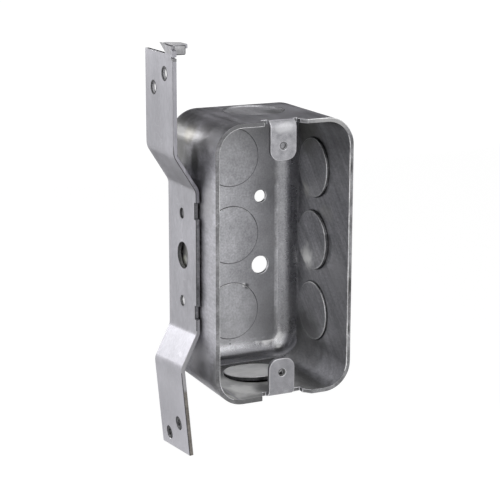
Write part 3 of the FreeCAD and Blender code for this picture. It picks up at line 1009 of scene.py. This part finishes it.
def paintBracketEdges(piece):
    marks = bracketMarks
    for face in piece.data.polygons:
        point = face.center / mm
        if face.material_index != slots["edge"]:
            continue
        within = marks["frontY"] + marks["inset"] < point.y < marks["backY"] - marks["inset"]
        onMiddle = marks["edgeBottom"] < point.z < marks["edgeTop"] and point.y < marks["frontY"] + marks["inset"]
        if within and marks["bottom"] < point.z < marks["top"]:
            face.material_index = slots["hole"]
        elif onMiddle:
            face.material_index = slots["hole" if face.normal.x < 0 else "cut"]
        elif point.y < marks["frontY"] + marks["inset"] and point.z < marks["edgeBottom"]:
            face.material_index = slots["hole" if face.normal.x < 0 and point.z < marks["lowFlange"] else "rustAndPaintedLight"]
        elif point.y < marks["frontY"] + marks["inset"] and point.z > marks["edgeTop"]:
            high = "cut" if point.z > marks["highFlange"] else "hole"
            face.material_index = slots[high if face.normal.x < 0 else "face"]


shellMaterials = (
    outsideZinc, wornEdge, insideZinc, cutSteel, paintedShadeSteel, sideZinc, floorZinc, burnishedZincWithPaintedHighlight, paintedHighlightEdge,
    earZinc, discZinc, floorPaintedLightZinc,
)
boxShell = weldedCopy(shellSet, shellMaterials)
paintShell(boxShell)
breakEdges(boxShell, shellSet)
paintShellEdges(boxShell)
bracketMaterials = (
    stripZinc, wornEdge, tabZinc, cutSteel, paintedShadeSteel, stripZinc, stripZinc, stripZinc, paintedHighlightEdge,
    stripZinc, stripZinc, stripZinc, rustyEdgeWithPaintedLight,
)
studBracket = weldedCopy(bracketSet, bracketMaterials)
paintTab(studBracket)
paintBracket(studBracket)
breakEdges(studBracket, bracketSet)
paintBracketEdges(studBracket)


# Small parts the frame leaves plain, each from its own settings

def addBlock(middle, size, material):
    bpy.ops.object.select_all(action="DESELECT")
    bpy.ops.mesh.primitive_cube_add(size=1, location=Vector(middle) * mm, scale=Vector(size) * mm)
    block = bpy.context.active_object
    block.data.materials.append(material)
    return block


def finishPiece(piece, settings):
    piece.name = settings["name"]
    bpy.ops.object.transform_apply(location=True, rotation=True, scale=True)
    bpy.ops.object.shade_smooth_by_angle(angle=sharpAngle)
    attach(piece, "root")


# The hook's turned-down lip, dark along its rounded edges: painted shade

lipSet = {
    "name": "hookLip",
    "middle": (-34.05, 12.925, 75.45),
    "size": (4.5, 1.85, 3.5),
    "edge": 0.45,
    "edgeSegments": 3,
    "slot": "bracket_steel",
}
hookLip = addBlock(lipSet["middle"], lipSet["size"], tabZinc)
bpy.ops.object.transform_apply(location=False, rotation=False, scale=True)
hookLip.data.materials.append(cutSteel)
lipBevel = hookLip.modifiers.new("roundedLip", "BEVEL")
lipBevel.width = lipSet["edge"] * mm
lipBevel.segments = lipSet["edgeSegments"]
lipBevel.material = 1
bpy.ops.object.modifier_apply(modifier=lipBevel.name)
finishPiece(hookLip, lipSet)

# The hook's barb, a wedge that points to the rear, and the neck below its head, darker as painted shade

barbSet = {
    "name": "barbTip",
    "middle": (-36.79, 20.75, 76.56),
    "size": (0.98, 2.6, 6.44),
    "lean": 12.1,
    "neckMiddle": (-36.79, 14.95, 75.5),
    "neckSize": (0.98, 5.5, 2.8),
    "slot": "bracket_steel",
}
bpy.ops.object.select_all(action="DESELECT")
bpy.ops.mesh.primitive_cone_add(
    vertices=4, radius1=math.sqrt(0.5), radius2=0, depth=1, rotation=(0, 0, radians(45)),
)
barbTip = bpy.context.active_object
bpy.ops.object.transform_apply(location=False, rotation=True, scale=False)
barbTip.scale = Vector(barbSet["size"]) * mm
bpy.ops.object.transform_apply(location=False, rotation=False, scale=True)
barbTip.rotation_euler = (radians(barbSet["lean"] - 90), 0, 0)
barbTip.location = Vector(barbSet["middle"]) * mm
barbTip.data.materials.append(cutSteel)
hookNeck = addBlock(barbSet["neckMiddle"], barbSet["neckSize"], shadedNeckZinc)
barbTip.select_set(True)
bpy.ops.object.join()
finishPiece(hookNeck, barbSet)

# The relief slot below the hook is dark inside

slotShade = {
    "name": "slotShade",
    "middle": (-36.5, 11.75, 72.2),
    "size": (1.45, 1.7, 1.0),
    "slot": "bracket_steel",
}
finishPiece(addBlock(slotShade["middle"], slotShade["size"], cutSteel), slotShade)

# Rings: the nail holes' drawn-in rims, near-black as painted shade, and two turns of thread in each ear

ringFaces = {"major_segments": 40, "minor_segments": 10}
rimSet = {
    "name": "nailRims",
    "radius": 2.22,
    "thickness": 0.24,
    "slot": "bracket_steel",
    "holes": [
        ((-37.02, 18.55, 66.8), (0, 90.0, 0)),
        ((-37.02, 28.75, 60.8), (0, 90.0, 0)),
    ],
}
lowRimSet = {
    "name": "lowNailRims",
    "radius": 1.72,
    "thickness": 0.68,
    "slot": "bracket_steel",
    "holes": [
        ((-32.4, 18.57, -62.15), (0, 95.4, 0)),
        ((-31.84, 28.73, -69.13), (0, 95.4, 0)),
    ],
}
threadSet = {
    "name": "earThreads",
    "radius": 1.28,
    "thickness": 0.28,
    "slot": "box_steel",
    "holes": [((0, turn, end * 41.65), (90.0, 0, 0)) for end in (-1, 1) for turn in (0.5, 1.05)],
}


def joinedRings(settings, material):
    rings = []
    for place, turn in settings["holes"]:
        bpy.ops.object.select_all(action="DESELECT")
        bpy.ops.mesh.primitive_torus_add(
            major_radius=settings["radius"] * mm, minor_radius=settings["thickness"] * mm,
            location=Vector(place) * mm, rotation=[radians(a) for a in turn], **ringFaces,
        )
        rings.append(bpy.context.active_object)
        rings[-1].data.materials.append(material)
    for ringPiece in rings:
        ringPiece.select_set(True)
    bpy.ops.object.join()
    finishPiece(bpy.context.active_object, settings)


joinedRings(rimSet, paintedShadeSteel)
joinedRings(lowRimSet, paintedShadeSteel)
joinedRings(threadSet, cutSteel)

print("sheet pieces:", len(boxShell.data.polygons), len(studBracket.data.polygons), "faces")


# Floor and studio light

stageSet = {
    "floorHeight": -118.0,
    "floorHalf": 6000.0,
    "floorTone": 0.86,
    "shadowShare": 0.12,
    "floorGlow": 1.12,
    "worldDiffuse": 0.75,
    "sweep": 1.05,
}


def litBackground(tree, plainSocket, brightSocket, target):
    path = addNode(tree, "ShaderNodeLightPath")
    seen = mathNode(tree, "MAXIMUM", path.outputs["Is Camera Ray"], path.outputs["Is Glossy Ray"])
    seen = mathNode(tree, "MAXIMUM", seen, path.outputs["Is Transmission Ray"])
    mix = addNode(tree, "ShaderNodeMixShader")
    wire(tree, seen, mix.inputs[0])
    wire(tree, plainSocket, mix.inputs[1])
    wire(tree, brightSocket, mix.inputs[2])
    wire(tree, mix.outputs[0], target)


world = bpy.data.worlds.new("studio")
bpy.context.scene.world = world
world.use_nodes = True
worldTree = world.node_tree
worldTree.nodes.clear()
softFill = setInputs(addNode(worldTree, "ShaderNodeBackground"), Color=(1, 1, 1, 1), Strength=stageSet["worldDiffuse"])
whiteSweep = setInputs(addNode(worldTree, "ShaderNodeBackground"), Color=(1, 1, 1, 1), Strength=stageSet["sweep"])
worldOut = addNode(worldTree, "ShaderNodeOutputWorld")
litBackground(worldTree, softFill.outputs[0], whiteSweep.outputs[0], worldOut.inputs["Surface"])

bpy.ops.object.select_all(action="DESELECT")
bpy.ops.mesh.primitive_plane_add(size=2 * stageSet["floorHalf"] * mm, location=(0, 0, stageSet["floorHeight"] * mm))
floor = bpy.context.active_object
floor.name = "floor"
floorPaper = bpy.data.materials.new("floorPaper")
floorPaper.use_nodes = True
paperTree = floorPaper.node_tree
paperTree.nodes.clear()
tone = stageSet["floorTone"]
paper = setInputs(addNode(paperTree, "ShaderNodeBsdfDiffuse"), Color=(tone, tone, tone, 1))
glow = setInputs(addNode(paperTree, "ShaderNodeEmission"), Color=(1, 1, 1, 1), Strength=stageSet["floorGlow"])
keepShadow = addNode(paperTree, "ShaderNodeMixShader")
keepShadow.inputs[0].default_value = 1 - stageSet["shadowShare"]
wire(paperTree, paper.outputs[0], keepShadow.inputs[1])
wire(paperTree, glow.outputs[0], keepShadow.inputs[2])
paperOut = addNode(paperTree, "ShaderNodeOutputMaterial")
litBackground(paperTree, paper.outputs[0], keepShadow.outputs[0], paperOut.inputs["Surface"])
floor.data.materials.append(floorPaper)


# Lamps and cards; azimuth is measured from the rear towards the right, as seen from the front

def towards(azimuth, elevation, distance):
    level = math.cos(radians(elevation))
    return Vector((
        math.sin(radians(azimuth)) * level,
        math.cos(radians(azimuth)) * level,
        math.sin(radians(elevation)),
    )) * distance * mm


lampSet = [
    {"name": "lowLeft", "azimuth": -28, "elevation": 11, "distance": 900, "size": 240, "radiance": 7.5},
    {"name": "front", "azimuth": 165, "elevation": 22, "distance": 900, "size": 500, "radiance": 1.3},
    {"name": "highFront", "azimuth": -165, "elevation": 52, "distance": 900, "size": 420, "radiance": 3.0},
]
for lamp in lampSet:
    lampData = bpy.data.lights.new(lamp["name"], "AREA")
    lampData.shape = "SQUARE"
    lampData.size = lamp["size"] * mm
    lampData.energy = lamp["radiance"] * math.pi * lampData.size ** 2
    lampObject = bpy.data.objects.new(lamp["name"], lampData)
    bpy.context.scene.collection.objects.link(lampObject)
    lampObject.location = towards(lamp["azimuth"], lamp["elevation"], lamp["distance"])
    lampObject.rotation_euler = (-lampObject.location).to_track_quat("-Z", "Y").to_euler()

cardRough = 0.9
cardSet = [
    {
        "name": "cardBehind", "place": (420, 480, 260), "turn": (90, 0, -41),
        "size": (1150, 760), "tone": 0.03, "seen": False,
    },
    {
        "name": "cardUnder", "place": (285, 420, -105), "turn": (0, 0, 0),
        "size": (690, 620), "tone": 0.03, "seen": False,
    },
    {
        "name": "cardAbove", "place": (-60, 420, 330), "turn": (128, 0, 0),
        "size": (760, 320), "tone": 0.03, "seen": False,
    },
    # a near-black sheet under the bottom knockout, seen through its gap: painted shade
    {
        "name": "shadeUnderOpening", "place": (0, 24.6, -50.95), "turn": (0, 0, 0),
        "size": (22, 22), "tone": 0.002, "seen": True,
    },
]
for card in cardSet:
    bpy.ops.object.select_all(action="DESELECT")
    bpy.ops.mesh.primitive_plane_add(size=1, location=Vector(card["place"]) * mm)
    cardObject = bpy.context.active_object
    cardObject.name = card["name"]
    cardObject.scale = (card["size"][0] * mm, card["size"][1] * mm, 1)
    cardObject.rotation_euler = [radians(a) for a in card["turn"]]
    cardPaint = bpy.data.materials.new(card["name"])
    cardPaint.use_nodes = True
    cardTree = cardPaint.node_tree
    cardTone = card["tone"]
    paint = cardTree.nodes["Principled BSDF"]
    setInputs(paint, Base_Color=(cardTone, cardTone, cardTone, 1), Roughness=cardRough)
    if card["seen"]:
        clear = addNode(cardTree, "ShaderNodeBsdfTransparent")
        side = addNode(cardTree, "ShaderNodeNewGeometry").outputs["Backfacing"]
        oneSided = addNode(cardTree, "ShaderNodeMixShader")
        wire(cardTree, side, oneSided.inputs[0])
        wire(cardTree, paint.outputs[0], oneSided.inputs[1])
        wire(cardTree, clear.outputs[0], oneSided.inputs[2])
        wire(cardTree, oneSided.outputs[0], cardTree.nodes["Material Output"].inputs["Surface"])
    cardObject.data.materials.append(cardPaint)
    cardObject.visible_camera = card["seen"]
    cardObject.visible_shadow = False
print("studio built")
